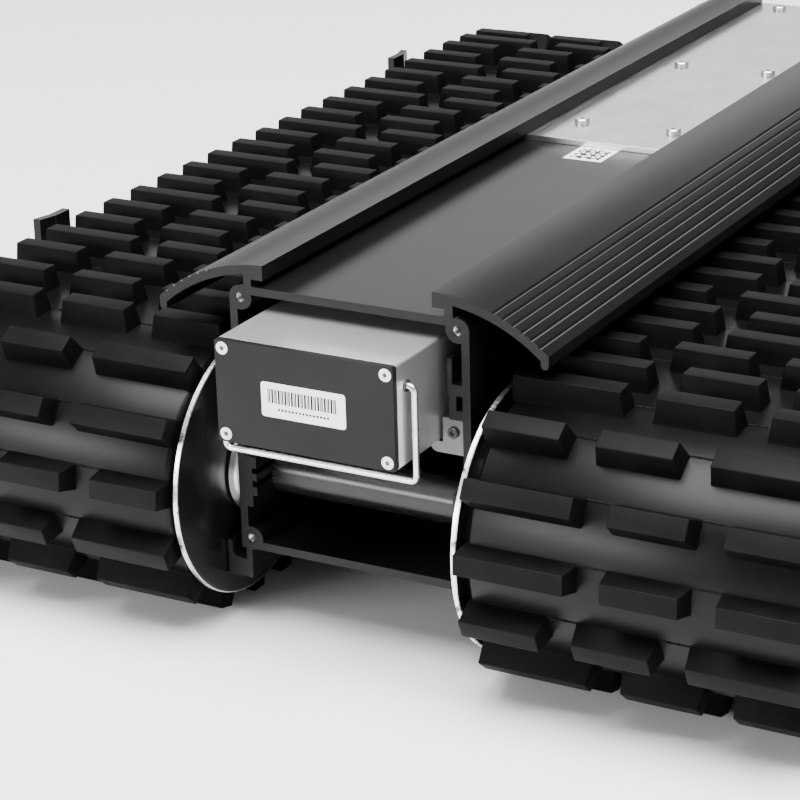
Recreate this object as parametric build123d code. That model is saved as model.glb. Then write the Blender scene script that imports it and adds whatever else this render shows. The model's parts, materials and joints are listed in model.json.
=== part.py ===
from build123d import *
import os
from math import atan2, cos, degrees, pi, radians, sin

# Tracked robot chassis. Millimetres, +Z up, battery end towards -Y.
# The origin is on the ground, under the middle of the object.

# Running gear
wheelbase = 503.0
axle_height = 65.0
drum_radius = 47.7
drum_wall = 3.0
belt_inner_radius = 48.0
belt_thickness = 7.0
belt_inner_edge = 68.4
belt_width = 142.2
lug_reach = 65.0
lug_rows = 57
lug_face_width = 8.4
lug_base_growth = 1.5
lug_root_depth = 1.0
pitch_radius = 49.6
long_lug = 46.6
middle_lug = 31.8
lug_gap = 15.3
first_row_angle = {"left": 175.4, "right": 203.2}

# Flanges of the drums
flange_radius = 56.9
flange_inner_face = 63.1
flange_thickness = 2.45
outer_flange_face = 212.4
hub_radius = 21.2
flare_width = 10.0
flare_height = 1.5

# Body extrusion
body_length = 547.0
boss_x = 50.0
boss_top_z = 148.0
boss_bottom_z = 40.5
boss_radius = 5.3
bore_radius = 1.85
tapped_radius = 2.1
tapped_depth = 25.0
wall_inner = 51.6
wall_outer = 55.2
web_top = 153.2
web_thickness = 3.6
lip_x = 38.9
lip_under = 156.3
neck_inner = 44.5
neck_outer = 48.1
wing_centre_x = 38.1
wing_centre_z = 85.1
wing_radius = 77.75
wing_thickness = 4.0
wing_lip_height = 4.0
wing_tip_x = 89.6
wing_tip_z = 137.5
wing_tip_width = 3.4
wing_tip_height = 5.5
wing_grooves = 6
groove_flank = 1.1
first_groove_angle = 20.9
groove_angle_step = 3.43
floor_bottom = 35.7
floor_top = 39.4
pad_inner = 46.4

# Battery
battery_half_width = 40.5
battery_bottom = 99.7
battery_top = 143.2
battery_front = -309.0
plate_thickness = 3.0
case_length = 152.0
case_wall = 1.5
screw_x = 37.0
screw_z_offset = 18.25
bail_pivot_y = -298.5
bail_pivot_z = 132.5
bail_leg_x = 44.0
bail_drop = 40.0
bail_wire_radius = 1.35

# Shafts
axle_radius = 6.0
drive_radius = 7.5
shaft_clearance = 1.5
side_plate_inner = 217.0
side_plate_thickness = 4.0
axle_end = 226.0

axle_y = wheelbase / 2
body_end = body_length / 2
belt_outer_radius = belt_inner_radius + belt_thickness
belt_outer_edge = belt_inner_edge + belt_width
battery_middle = (battery_bottom + battery_top) / 2
case_front = battery_front + plate_thickness
case_back = case_front + case_length
sides = {"left": -1, "right": 1}
slack = 0.1
screw_thread = 1.55


def block(x0, x1, y0, y1, z0, z1):
    """A box between two corners."""
    centre = ((x0 + x1) / 2, (y0 + y1) / 2, (z0 + z1) / 2)
    return Pos(*centre) * Box(abs(x1 - x0), abs(y1 - y0), abs(z1 - z0))


def rod_x(radius, x0, x1, y, z):
    """A round bar along X."""
    return Pos((x0 + x1) / 2, y, z) * Rot(0, 90, 0) * Cylinder(radius, abs(x1 - x0))


def rod_y(radius, y0, y1, x, z):
    """A round bar along Y."""
    return Pos(x, (y0 + y1) / 2, z) * Rot(90, 0, 0) * Cylinder(radius, abs(y1 - y0))


def rod_z(radius, z0, z1, x, y):
    """A round bar along Z."""
    return Pos(x, y, (z0 + z1) / 2) * Cylinder(radius, abs(z1 - z0))


def ring_x(outer, inner, x0, x1, y, z):
    """A plain ring around an X axis."""
    middle = (x0 + x1) / 2
    half = abs(x1 - x0) / 2
    return rod_x(outer, x0, x1, y, z) - rod_x(inner, middle - half - 1, middle + half + 1, y, z)


def hex_nut_x(across_flats, bore, x0, x1, y, z):
    """A hexagonal nut around an X axis."""
    corner = across_flats / 2 / cos(pi / 6)
    body = extrude(RegularPolygon(corner, 6), abs(x1 - x0) / 2, both=True)
    placed = Pos((x0 + x1) / 2, y, z) * Rot(0, 90, 0) * body
    return placed - rod_x(bore, min(x0, x1) - 1, max(x0, x1) + 1, y, z)


def screw(radius, length, head_radius, head_height, socket):
    """A socket screw pointing down -Z with the underside of its head at zero."""
    head = Pos(0, 0, head_height / 2) * Cylinder(head_radius, head_height)
    head = chamfer(head.edges().group_by(Axis.Z)[-1], head_height * 0.2)
    shank = Pos(0, 0, -length / 2 + 0.01) * Cylinder(radius, length)
    drive = extrude(RegularPolygon(socket / 2 / cos(pi / 6), 6), head_height)
    return head + shank - Pos(0, 0, head_height * 0.45) * drive


def countersunk_screw(radius, length, head_radius, socket):
    """A countersunk socket screw pointing down -Z with the top of its head at zero."""
    depth = head_radius - radius
    head = Pos(0, 0, -depth / 2) * Cone(radius, head_radius, depth)
    shank = Pos(0, 0, -depth - (length - depth) / 2 + 0.01) * Cylinder(radius, length - depth)
    drive = Pos(0, 0, -depth * 0.8) * extrude(RegularPolygon(socket / 2 / cos(pi / 6), 6), depth)
    return head + shank - drive


def facing(x, y, z, way):
    """A placement at a point that turns +Z to the named direction."""
    turns = {"+x": (0, 90, 0), "-x": (0, -90, 0), "+y": (-90, 0, 0), "-y": (90, 0, 0), "+z": (0, 0, 0)}
    return Pos(x, y, z) * Rot(*turns[way])


def outward(side):
    """The direction name that points away from the middle on one side."""
    return "+x" if side > 0 else "-x"


def save(name, *shapes):
    """Write one node as its separate solids."""
    solids = []
    for shape in shapes:
        solids += list(shape.solids())
    whole = solids[0] if len(solids) == 1 else Compound(children=solids)
    whole.label = name
    export_step(whole, os.path.join("parts", name + ".step"))


# ---- Body extrusion ----

def area(x0, x1, z0, z1):
    """A rectangle of the cross-section."""
    return Pos((x0 + x1) / 2, (z0 + z1) / 2) * Rectangle(abs(x1 - x0), abs(z1 - z0))


def wing_section():
    """The curved wing with its inner lip, round-ended tip and V-shaped grip grooves."""
    centre = Pos(wing_centre_x, wing_centre_z)
    outer = centre * Circle(wing_radius)
    inner = centre * Circle(wing_radius - wing_thickness)
    top = wing_centre_z + wing_radius + 1
    tip_radius = wing_tip_width / 2
    tip_x = wing_tip_x - tip_radius
    tip_z = wing_tip_z + tip_radius
    shape = (outer & area(lip_x, wing_tip_x, tip_z, top)) - inner
    shape += area(lip_x, neck_outer, lip_under, lip_under + wing_lip_height)
    shape += area(tip_x - tip_radius, wing_tip_x, tip_z, wing_tip_z + wing_tip_height)
    shape += Pos(tip_x, tip_z) * Circle(tip_radius)
    for number in range(wing_grooves):
        turn = first_groove_angle + number * groove_angle_step
        groove = Pos(0, wing_radius) * Rot(0, 0, 45) * Rectangle(groove_flank, groove_flank)
        shape -= centre * Rot(0, 0, -turn) * groove
    return shape


def battery_guide_section():
    """Ribs on the inside of the wall beside the battery."""
    shape = area(45.0, 47.2, 122.5, 136.0)
    shape += area(45.0, wall_inner + 1, 120.5, 125.3)
    shape += area(45.5, 48.9, 110.2, 121.0)
    shape += area(45.5, wall_inner + 1, 110.2, 114.3)
    return shape


def axle_pad_section():
    """The thick toothed pad of the wall at axle height."""
    shape = area(48.6, wall_inner + 1, 55.0, 78.0)
    for low, high in ((60.4, 64.2), (67.0, 70.3), (72.8, 77.7)):
        shape += area(pad_inner, 49.0, low, high)
    return shape


def skirt_rail_section():
    """The U-shaped accessory rail under the wall, with a rounded inner corner."""
    low = 22.0
    seat = 30.4
    corner = 3.0
    leg_inner = 60.1
    leg_outer = 62.4
    arm_inner = 50.4
    arm_outer = 53.2
    shape = area(leg_inner, leg_outer, low, 37.8)
    shape += area(arm_inner, leg_inner + slack, low, seat)
    shape += area(arm_inner, arm_outer, seat - slack, floor_bottom + 2)
    shape += area(leg_inner - corner, leg_inner, seat, seat + corner)
    shape -= Pos(leg_inner - corner, seat + corner) * Circle(corner)
    return shape


def half_section():
    """The right half of the body's cross-section."""
    shape = area(-1, boss_x, web_top - web_thickness, web_top)
    shape += area(-1, boss_x, floor_bottom, floor_top)
    shape += area(wall_inner, wall_outer, floor_bottom, boss_top_z)
    shape += area(neck_inner, neck_outer, web_top - web_thickness, lip_under + wing_lip_height / 2)
    shape += wing_section()
    shape += battery_guide_section()
    shape += axle_pad_section()
    shape += skirt_rail_section()
    for height in (boss_bottom_z, boss_top_z):
        shape += Pos(boss_x, height) * Circle(boss_radius)
        shape -= Pos(boss_x, height) * Circle(bore_radius)
    return shape


def body_extrusion():
    """The long body profile with its cross holes."""
    right = half_section()
    section = right + mirror(right, Plane.YZ)
    body = extrude(Plane.XZ * section, body_end, both=True)
    for side in sides.values():
        start = side * (pad_inner - 1)
        stop = side * (wall_outer + 1)
        body -= rod_x(axle_radius + slack, start, stop, -axle_y, axle_height)
        body -= rod_x(drive_radius + shaft_clearance, start, stop, axle_y, axle_height)
    for x, y in deck_screw_places():
        body -= rod_z(screw_thread + slack, web_top - web_thickness - 1, web_top + 1, x, y)
    for x, z in boss_places():
        body -= rod_y(tapped_radius, -body_end - 1, -body_end + tapped_depth, x, z)
    return body


def boss_places():
    """The four screw bosses of the body, as x and z."""
    return [(x, z) for x in (-boss_x, boss_x) for z in (boss_bottom_z, boss_top_z)]


# ---- Deck and end plate ----

end_plate_thickness = 3.0
deck_near = -30.5
deck_bottom = web_top + 0.1
deck_top = lip_under - 0.2


def deck_screw_places():
    """Screws of the deck plate, as x and y."""
    rows = (deck_near + 30, (deck_near + body_end) / 2, body_end - 12)
    return [(x, y) for y in rows for x in (-24.0, 24.0)]


def deck_plate():
    """The bare plate that slides into the channel over the top web."""
    reach = neck_inner - 0.3
    plate = block(-reach, reach, deck_near, body_end, deck_bottom, deck_top)
    for x, y in deck_screw_places():
        plate -= rod_z(2.2, deck_bottom - 1, deck_top + 1, x, y)
    return plate


def deck_screws():
    """Button screws that hold the deck plate to the top web."""
    one = screw(screw_thread, 5.8, 3.6, 2.0, 2.5)
    return [Pos(x, y, deck_top) * one for x, y in deck_screw_places()]


def end_plate():
    """The cover over the rear end of the body."""
    low = boss_bottom_z - boss_radius
    high = boss_top_z + boss_radius
    outer = body_end + end_plate_thickness
    plate = block(-wall_outer, wall_outer, body_end, outer, low, high)
    plate = fillet(plate.edges().filter_by(Axis.Y), 5.0)
    for x, z in boss_places():
        plate -= rod_y(2.7, body_end - 1, outer + 1, x, z)
    vent_half_width = 30.0
    vent_height = 2.5
    for level in range(5):
        z = 84.0 + level * 7.0
        plate -= block(-vent_half_width, vent_half_width, body_end - 1, outer + 1, z, z + vent_height)
    return plate


def end_plate_screws():
    """Screws of the rear cover, into the ends of the bosses."""
    one = screw(bore_radius, 15.0, 4.6, 2.8, 3.0)
    return [facing(x, body_end + end_plate_thickness, z, "+y") * one for x, z in boss_places()]


def code_label():
    """The small label on the top web, in front of the deck plate."""
    return block(-10.0, 9.6, deck_near - 21.5, deck_near - 0.6, web_top, web_top + 0.2)


# ---- Battery bay ----

rail_near = -271.5
rail_far = -157.0
rail_screw_x = 46.5
rail_screw_z = 104.0


def battery_rail(side):
    """A bare L-shaped rail that carries one side of the battery."""
    with BuildSketch(Plane.XZ) as profile:
        with BuildLine():
            Polyline(
                (36.0, 94.5),
                (wall_inner, 94.5),
                (wall_inner, 110.0),
                (41.4, 110.0),
                (41.4, 99.4),
                (36.0, 99.4),
                close=True,
            )
        make_face()
        corner = profile.vertices().sort_by_distance((36.0, 0, 94.5))[0]
        fillet(corner, 3.0)
    rail = Pos(0, rail_far, 0) * extrude(profile.sketch, rail_far - rail_near)
    if side < 0:
        rail = mirror(rail, Plane.YZ)
    return rail - rod_y(1.25, rail_near - 1, rail_near + 10, side * rail_screw_x, rail_screw_z)


def battery_rail_screws():
    """The screw in the near end of each rail."""
    one = screw(1.15, 8.0, 2.4, 1.4, 2.0)
    places = [side * rail_screw_x for side in sides.values()]
    return [facing(x, rail_near, rail_screw_z, "-y") * one for x in places]


dock_near = -151.0
dock_far = -133.0
dock_bar_low = 95.0
dock_bar_high = 99.0
plug_half_width = 12.0
plug_low = battery_middle - 4.0
plug_high = battery_middle + 4.0
plug_end = case_back + plate_thickness + 7.0


def dock_socket():
    """The fixed socket behind the battery."""
    socket = block(-20, 20, dock_near + 3, dock_far, dock_bar_high, 140.0)
    reach = plug_half_width + 0.4
    recess = block(-reach, reach, dock_near, plug_end + 1.5, plug_low - 0.4, plug_high + 0.4)
    return socket - recess


def dock_bridge():
    """The bar that carries the socket across the bay."""
    bar = block(-wall_inner, wall_inner, dock_near + 3, dock_far, dock_bar_low, dock_bar_high)
    for side in sides.values():
        bar += block(side * 47.6, side * wall_inner, dock_near + 3, dock_far, dock_bar_low, 110.0)
    return bar


# ---- Battery ----

def battery_case():
    """The square tube of the battery with a screw boss in each corner."""
    reach = battery_half_width
    shell = block(-reach, reach, case_front, case_back, battery_bottom, battery_top)
    shell = fillet(shell.edges().filter_by(Axis.Y), 1.2)
    inner = reach - case_wall
    low = battery_bottom + case_wall
    high = battery_top - case_wall
    shell -= block(-inner, inner, case_front - 1, case_back + 1, low, high)
    for x, z in battery_screw_places():
        shell += rod_y(3.2, case_front, case_back, x, z)
    for x, z in battery_screw_places():
        shell -= rod_y(1.25, case_front - 1, case_back + 1, x, z)
    for side in sides.values():
        shell -= rod_x(2.6, side * (inner - 3), side * (reach + 1), bail_pivot_y, bail_pivot_z)
    return shell


def battery_screw_places():
    """The four corners where the end plates are screwed on, as x and z."""
    heights = (battery_middle - screw_z_offset, battery_middle + screw_z_offset)
    return [(x, z) for x in (-screw_x, screw_x) for z in heights]


def battery_plate(front):
    """One end plate of the battery with countersunk holes."""
    near = battery_front if front else case_back
    reach = battery_half_width
    plate = block(-reach, reach, near, near + plate_thickness, battery_bottom, battery_top)
    plate = fillet(plate.edges().filter_by(Axis.Y), 1.2)
    way = "-y" if front else "+y"
    face = near if front else near + plate_thickness
    for x, z in battery_screw_places():
        plate -= rod_y(1.7, near - 1, near + plate_thickness + 1, x, z)
        plate -= facing(x, face, z, way) * Pos(0, 0, -0.6) * Cone(1.7, 2.9, 1.2)
    if not front:
        reach = plug_half_width - 1
        plate -= block(-reach, reach, near - 1, near + plate_thickness + 1, plug_low + 1, plug_high - 1)
    return plate


def battery_screws():
    """Countersunk screws in both end plates."""
    one = countersunk_screw(1.15, 9.0, 2.7, 2.0)
    solids = []
    for x, z in battery_screw_places():
        solids.append(facing(x, battery_front, z, "-y") * one)
        solids.append(facing(x, case_back + plate_thickness, z, "+y") * one)
    return solids


def battery_cells():
    """Round cells in four columns, two layers and two banks."""
    cell_radius = 9.1
    cell_length = 65.0
    pitch = 18.5
    solids = []
    for bank in range(2):
        start = case_front + 8 + bank * (cell_length + 2)
        for column in range(4):
            x = (column - 1.5) * pitch
            for layer in (-0.5, 0.5):
                z = battery_middle + layer * pitch
                solids.append(rod_y(cell_radius, start, start + cell_length, x, z))
    return solids


def battery_plug():
    """The contact block on the rear plate of the battery."""
    near = case_back + plate_thickness
    reach = plug_half_width
    plug = block(-reach, reach, near, plug_end, plug_low, plug_high)
    inner = reach - 1.2
    plug += block(-inner, inner, case_back - 3, near + 1, plug_low + 1.2, plug_high - 1.2)
    for x in (-6.0, 6.0):
        plug -= rod_y(1.6, plug_end - 6, plug_end + 1, x, battery_middle)
    return plug


def battery_label():
    """The label on the battery's front plate."""
    return block(-19.4, 19.0, battery_front - 0.2, battery_front, 114.0, 128.6)


def bail_bushes():
    """Bushes in the sides of the case that the bail turns in."""
    solids = []
    for side in sides.values():
        inner = battery_half_width - case_wall - 1.5
        bush = ring_x(2.5, bail_wire_radius + 0.05, side * inner, side * (battery_half_width + 0.4),
                      bail_pivot_y, bail_pivot_z)
        solids.append(bush)
    return solids


def carry_bail():
    """The bent wire handle that hangs from the bushes."""
    end_x = battery_half_width - 3.2
    leg = bail_leg_x
    low = bail_pivot_z - bail_drop
    points = [
        (-end_x, bail_pivot_y, bail_pivot_z),
        (-leg, bail_pivot_y, bail_pivot_z),
        (-leg, bail_pivot_y, low),
        (leg, bail_pivot_y, low),
        (leg, bail_pivot_y, bail_pivot_z),
        (end_x, bail_pivot_y, bail_pivot_z),
    ]
    path = FilletPolyline(*points, radius=2.6)
    section = Plane(origin=points[0], z_dir=(-1, 0, 0)) * Circle(bail_wire_radius)
    return sweep(section, path)


# ---- Front axle ----

def front_axle():
    """The fixed axle through both front drums."""
    return rod_x(axle_radius, -axle_end, axle_end, -axle_y, axle_height)


def axle_tube():
    """The spacer tube over the axle between the walls."""
    return ring_x(10.0, axle_radius + slack, -46.3, 46.3, -axle_y, axle_height)


collar_step = 58.6
collar_end = 61.2
collar_radius = 20.6
bearing_length = 8.0
inner_bearing_start = 61.6
outer_bearing_start = 206.0
bearing_radius = 14.0


def axle_collars():
    """Collars that keep the drums clear of the wall and the side plate."""
    solids = []
    for side in sides.values():
        bore = axle_radius + slack
        inner = ring_x(collar_radius - 1.2, bore, side * wall_outer, side * collar_step, -axle_y, axle_height)
        inner += ring_x(collar_radius, bore, side * collar_step, side * collar_end, -axle_y, axle_height)
        solids.append(inner)
        outer_start = outer_bearing_start + bearing_length + 0.4
        solids.append(ring_x(9.0, bore, side * outer_start, side * side_plate_inner, -axle_y, axle_height))
    return solids


def axle_nuts():
    """Washers and nuts on the ends of the fixed axle."""
    solids = []
    outer = side_plate_inner + side_plate_thickness
    for side in sides.values():
        bore = axle_radius + slack
        solids.append(ring_x(11.0, bore, side * outer, side * (outer + 1.2), -axle_y, axle_height))
        nut = hex_nut_x(18.0, bore, side * (outer + 1.2), side * (outer + 6.2), -axle_y, axle_height)
        solids.append(nut)
    return solids


# ---- Drums ----

def drum_shell(side, y):
    """The tube that the belt runs on."""
    start = side * (flange_inner_face + flange_thickness + 0.05)
    stop = side * (outer_flange_face - 0.05)
    return ring_x(drum_radius, drum_radius - drum_wall, start, stop, y, axle_height)


def tie_rod_places():
    """Three places around the hub, as y and z offsets."""
    circle = 30.0
    return [(circle * cos(radians(a)), circle * sin(radians(a))) for a in (90, 210, 330)]


def flange(side, y, inner, bearing):
    """A drum end: guide disc, spigot inside the shell and bearing or shaft boss."""
    face = flange_inner_face if inner else outer_flange_face + flange_thickness
    inward = 1 if inner else -1
    back = face + inward * flange_thickness
    spigot_radius = drum_radius - drum_wall - slack
    shape = rod_x(flange_radius, side * face, side * back, y, axle_height)
    shape += rod_x(spigot_radius, side * back, side * (back + inward * 5), y, axle_height)
    if inner:
        flare = Cone(hub_radius, hub_radius + flare_width, flare_height)
        shape += Pos(side * (face - flare_height / 2), y, axle_height) * Rot(0, 90 * side, 0) * flare
    boss_end = back + inward * 7
    shape += rod_x(19.0, side * back, side * boss_end, y, axle_height)
    bore = bearing_radius + 0.05 if bearing else drive_radius + 0.05
    far = max(face, boss_end) + 3
    near = min(face, boss_end) - 3
    shape -= rod_x(bore, side * near, side * far, y, axle_height)
    for dy, dz in tie_rod_places():
        shape -= rod_x(3.1, side * near, side * far, y + dy, axle_height + dz)
    return shape


def tie_rods(side, y):
    """Rods that clamp the two drum ends onto the shell."""
    solids = []
    inner = flange_inner_face + 0.6
    outer = outer_flange_face + flange_thickness
    for dy, dz in tie_rod_places():
        rod = rod_x(3.0, side * inner, side * outer, y + dy, axle_height + dz)
        rod += rod_x(4.8, side * outer, side * (outer + 1.4), y + dy, axle_height + dz)
        solids.append(rod)
    return solids


def drum_bearings(side, y):
    """Ball bearings of a free drum, as closed rings."""
    solids = []
    for start in (inner_bearing_start, outer_bearing_start):
        stop = start + bearing_length
        ring = ring_x(bearing_radius, axle_radius + 0.05, side * start, side * stop, y, axle_height)
        solids.append(ring)
    return solids


def drive_shaft(side, y):
    """The shaft from the gearbox through a driven drum."""
    shaft = rod_x(drive_radius, side * 9.0, side * (axle_end - 1), y, axle_height)
    shaft += rod_x(10.0, side * (wall_outer + 0.6), side * collar_end, y, axle_height)
    return shaft


def side_bearing(side):
    """The bearing of a drive shaft in the outer side plate."""
    start = side_plate_inner - 1.5
    return ring_x(14.0, drive_radius + 0.05, side * start, side * (start + 7), axle_y, axle_height)


# ---- Drive units ----

gearbox_inner = 5.2
gearbox_outer = 46.2
gearbox_near = 221.0
gearbox_far = 271.0
worm_z = axle_height + 24.0
motor_radius = 18.0
motor_near = 132.0
gearbox_low = 46.0
gearbox_high = 109.0
worm_shaft_radius = 3.0
running_gap = 0.05


def gearbox(side):
    """A right-angle gear housing, hollow around the output shaft and the worm."""
    shell = block(side * gearbox_inner, side * gearbox_outer, gearbox_near, gearbox_far,
                  gearbox_low, gearbox_high)
    shell = fillet(shell.edges().filter_by(Axis.X), 4.0)
    shell -= rod_x(21.0, side * (gearbox_inner + 4), side * (gearbox_outer - 5), axle_y, axle_height)
    shell -= rod_x(drive_radius + running_gap, side * (gearbox_inner - 1), side * (gearbox_outer + 1),
                   axle_y, axle_height)
    middle = side * (gearbox_inner + gearbox_outer) / 2
    shell -= rod_y(9.0, gearbox_near - 1, gearbox_far - 4, middle, worm_z)
    shell -= rod_y(worm_shaft_radius + running_gap, gearbox_far - 5, gearbox_far - 0.8, middle, worm_z)
    for y, z in gearbox_screw_places():
        shell -= rod_x(1.65, side * (gearbox_inner - 1), side * (gearbox_inner + 3.3), y, z)
    return shell


def gearbox_screw_places():
    """Cover screws of a gear housing, as y and z."""
    return [(y, z) for y in (gearbox_near + 6, gearbox_far - 6) for z in (52.0, 103.0)]


def worm_wheel(side):
    """The toothed wheel on the output shaft inside the gear housing."""
    teeth = 40
    tip_radius = 18.2
    gap_middle = 17.5
    gap_depth = 2.0
    gap_width = 1.3
    x0 = side * (gearbox_inner + 12)
    x1 = side * (gearbox_outer - 12)
    wheel = rod_x(tip_radius, x0, x1, axle_y, axle_height)
    wheel -= rod_x(drive_radius + running_gap, x0 - side, x1 + side, axle_y, axle_height)
    for tooth in range(teeth):
        angle = 2 * pi * tooth / teeth
        y = axle_y + gap_middle * cos(angle)
        z = axle_height + gap_middle * sin(angle)
        gap = Box(abs(x1 - x0) + 2, gap_depth, gap_width)
        wheel -= Pos((x0 + x1) / 2, y, z) * Rot(degrees(angle), 0, 0) * gap
    return wheel


def motor(side):
    """The motor can, its pilot and its end cap."""
    x = side * (gearbox_inner + gearbox_outer) / 2
    can = rod_y(motor_radius, motor_near + 8, gearbox_near, x, worm_z)
    can += rod_y(motor_radius - 1.2, motor_near + 4, motor_near + 8, x, worm_z)
    can += rod_y(5.0, motor_near, motor_near + 4, x, worm_z)
    can += rod_y(8.9, gearbox_near, gearbox_near + 3, x, worm_z)
    return can - rod_y(worm_shaft_radius + running_gap, gearbox_near - 22, gearbox_near + 4, x, worm_z)


def worm(side):
    """The motor's output worm, a plain cylinder at its pitch radius."""
    x = side * (gearbox_inner + gearbox_outer) / 2
    shaft = rod_y(worm_shaft_radius, gearbox_near - 21, gearbox_far - 1.2, x, worm_z)
    return shaft + rod_y(5.4, axle_y - 13, axle_y + 13, x, worm_z)


def gearbox_screws():
    """Cap screws on the inner face of each gear housing."""
    one = screw(1.6, 3.0, 3.0, 2.0, 2.5)
    solids = []
    for side in sides.values():
        for y, z in gearbox_screw_places():
            solids.append(facing(side * gearbox_inner, y, z, outward(-side)) * one)
    return solids


def controller():
    """The finned motor controller on the floor of the body."""
    half_width = 38.0
    near = -70.0
    far = 50.0
    case_top = floor_top + 18
    fin_top = case_top + 9
    case = block(-half_width, half_width, near, far, floor_top, case_top)
    for fin in range(-4, 5):
        x = fin * 9.0
        case += block(x - 1, x + 1, near + 4, far - 4, case_top - 1, fin_top)
    return case


# ---- Belts ----

def belt_outline(radius):
    """The stadium outline around both drums at one radius."""
    return Pos(0, axle_height) * SlotCenterToCenter(wheelbase, 2 * radius)


def belt(side):
    """The closed rubber belt without its lugs."""
    ring = belt_outline(belt_outer_radius) - belt_outline(belt_inner_radius)
    solid = extrude(Plane.YZ * ring, belt_width)
    start = belt_inner_edge if side > 0 else -belt_outer_edge
    return Pos(start, 0, 0) * solid


def belt_station(distance):
    """The y, tilt and curved state of the belt at a distance from the top of the front drum.

    The distance runs down the front, back along the ground and over the rear drum.
    The tilt is the angle in radians of the outward normal from +Z, turning towards -Y.
    """
    arc = pi * pitch_radius
    distance %= 2 * (arc + wheelbase)
    if distance < arc:
        return -axle_y, distance / pitch_radius, True
    distance -= arc
    if distance < wheelbase:
        return -axle_y + distance, pi, False
    distance -= wheelbase
    if distance < arc:
        return axle_y, pi + distance / pitch_radius, True
    return axle_y - (distance - arc), 0.0, False


def lug_spans(mirrored):
    """Start and stop of the three lugs of one row, across the belt."""
    middle_start = long_lug + lug_gap
    last_start = middle_start + middle_lug + lug_gap
    spans = [(0.0, long_lug), (middle_start, middle_start + middle_lug), (last_start, belt_width)]
    if mirrored:
        spans = [(belt_width - stop, belt_width - start) for start, stop in reversed(spans)]
    return spans


def lug(start, stop, reach):
    """One lug across +X, standing on +Z, with sloped flanks and square belt-edge ends."""
    root = belt_outer_radius - lug_root_depth
    half = lug_face_width / 2
    grow_start = lug_base_growth if start > 0 else 0.0
    grow_stop = lug_base_growth if stop < belt_width else 0.0
    foot_half = half + lug_base_growth
    foot = Polyline(
        (start - grow_start, -foot_half, root),
        (stop + grow_stop, -foot_half, root),
        (stop + grow_stop, foot_half, root),
        (start - grow_start, foot_half, root),
        close=True,
    )
    face = Polyline(
        (start, -half, reach),
        (stop, -half, reach),
        (stop, half, reach),
        (start, half, reach),
        close=True,
    )
    return Solid.make_loft([foot.wires()[0], face.wires()[0]], ruled=True)


def lugs(side_name):
    """All lugs of one belt, three to a row, every third row mirrored."""
    side = sides[side_name]
    length = 2 * (pi * pitch_radius + wheelbase)
    pitch = length / lug_rows
    first = radians(first_row_angle[side_name] - 90) * pitch_radius
    solids = []
    for row in range(lug_rows):
        y, tilt, curved = belt_station(first + row * pitch)
        reach = lug_reach - 0.15 if curved else lug_reach
        place = Pos(0, y, axle_height) * Rot(degrees(tilt), 0, 0)
        for start, stop in lug_spans(mirrored=row % 3 == 0):
            solid = Pos(belt_inner_edge, 0, 0) * lug(start, stop, reach)
            if side < 0:
                solid = mirror(solid, Plane.YZ)
            solids.append(place * solid)
    return solids


# ---- Slide beds and side plates ----

bed_half_length = 196.0
bed_top = axle_height + belt_inner_radius - 0.3
bed_bottom = axle_height - belt_inner_radius + 0.3
bed_thickness = 3.0
rib_places = (-150.0, -50.0, 50.0, 150.0)
rib_half = 5.0
bed_inner = 70.0
bed_outer = 209.0


def slide_bed(side, upper):
    """One flat plate that keeps the belt straight between the drums."""
    z0 = bed_top - bed_thickness if upper else bed_bottom
    plate = block(side * bed_inner, side * bed_outer, -bed_half_length, bed_half_length,
                  z0, z0 + bed_thickness)
    for y in rib_places:
        for x in (95.0, 184.0):
            plate -= rod_z(2.1, z0 - 1, z0 + bed_thickness + 1, side * x, y)
    return plate


def bed_screws(side):
    """Countersunk screws from both beds into the ribs."""
    one = countersunk_screw(1.9, 10.0, 1.95, 1.5)
    solids = []
    for y in rib_places:
        for x in (95.0, 184.0):
            solids.append(Pos(side * x, y, bed_top - 0.4) * one)
            solids.append(Pos(side * x, y, bed_bottom + 0.4) * Rot(180, 0, 0) * one)
    return solids


def rib(side, y):
    """One cross rib from the body wall to the outer side plate."""
    low = bed_bottom + bed_thickness
    high = bed_top - bed_thickness
    near = y - rib_half
    far = y + rib_half
    shape = block(side * 66.0, side * side_plate_inner, near, far, low, high)
    shape += block(side * wall_outer, side * 67.0, near, far, 45.0, 105.0)
    for x in (100.0, 140.0, 180.0):
        shape -= rod_y(15.0, near - 1, far + 1, side * x, axle_height)
    for x in (95.0, 184.0):
        shape -= rod_z(2.0, low - 1, low + 12, side * x, y)
        shape -= rod_z(2.0, high - 12, high + 1, side * x, y)
    for z in (52.0, 78.0):
        shape -= rod_x(2.0, side * (side_plate_inner - 14), side * (side_plate_inner + 1), y, z)
    return shape


ear_near = 159.0
ear_bend = 170.5
ear_tip = 179.5
ear_top = 133.0
ear_flare = 2.5
plate_height = 46.0


def side_plate(side):
    """The outer plate that ties the axle ends, with a flared ear near each end."""
    inner = side_plate_inner
    outer = side_plate_inner + side_plate_thickness
    bar = Pos(0, axle_height) * SlotOverall(wheelbase + plate_height, plate_height)
    plate = extrude(Plane.YZ * bar, side_plate_thickness)
    plate = Pos(inner, 0, 0) * plate
    for end in (-1, 1):
        plate += block(inner, outer, end * ear_near, end * ear_bend, axle_height, ear_top)
        flare = Plane.XY * make_face(Polyline(
            (inner, end * (ear_bend - 0.5)),
            (outer, end * (ear_bend - 0.5)),
            (outer + ear_flare, end * ear_tip),
            (inner + ear_flare, end * ear_tip),
            close=True,
        ))
        plate += Pos(0, 0, axle_height + 30) * extrude(flare, ear_top - axle_height - 30)
        bore = axle_radius + slack if end < 0 else 14.05
        plate -= rod_x(bore, inner - 1, outer + 1, end * axle_y, axle_height)
    for y in rib_places:
        for z in (52.0, 78.0):
            plate -= rod_x(2.2, inner - 1, outer + 1, y, z)
    return plate if side > 0 else mirror(plate, Plane.YZ)


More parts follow.
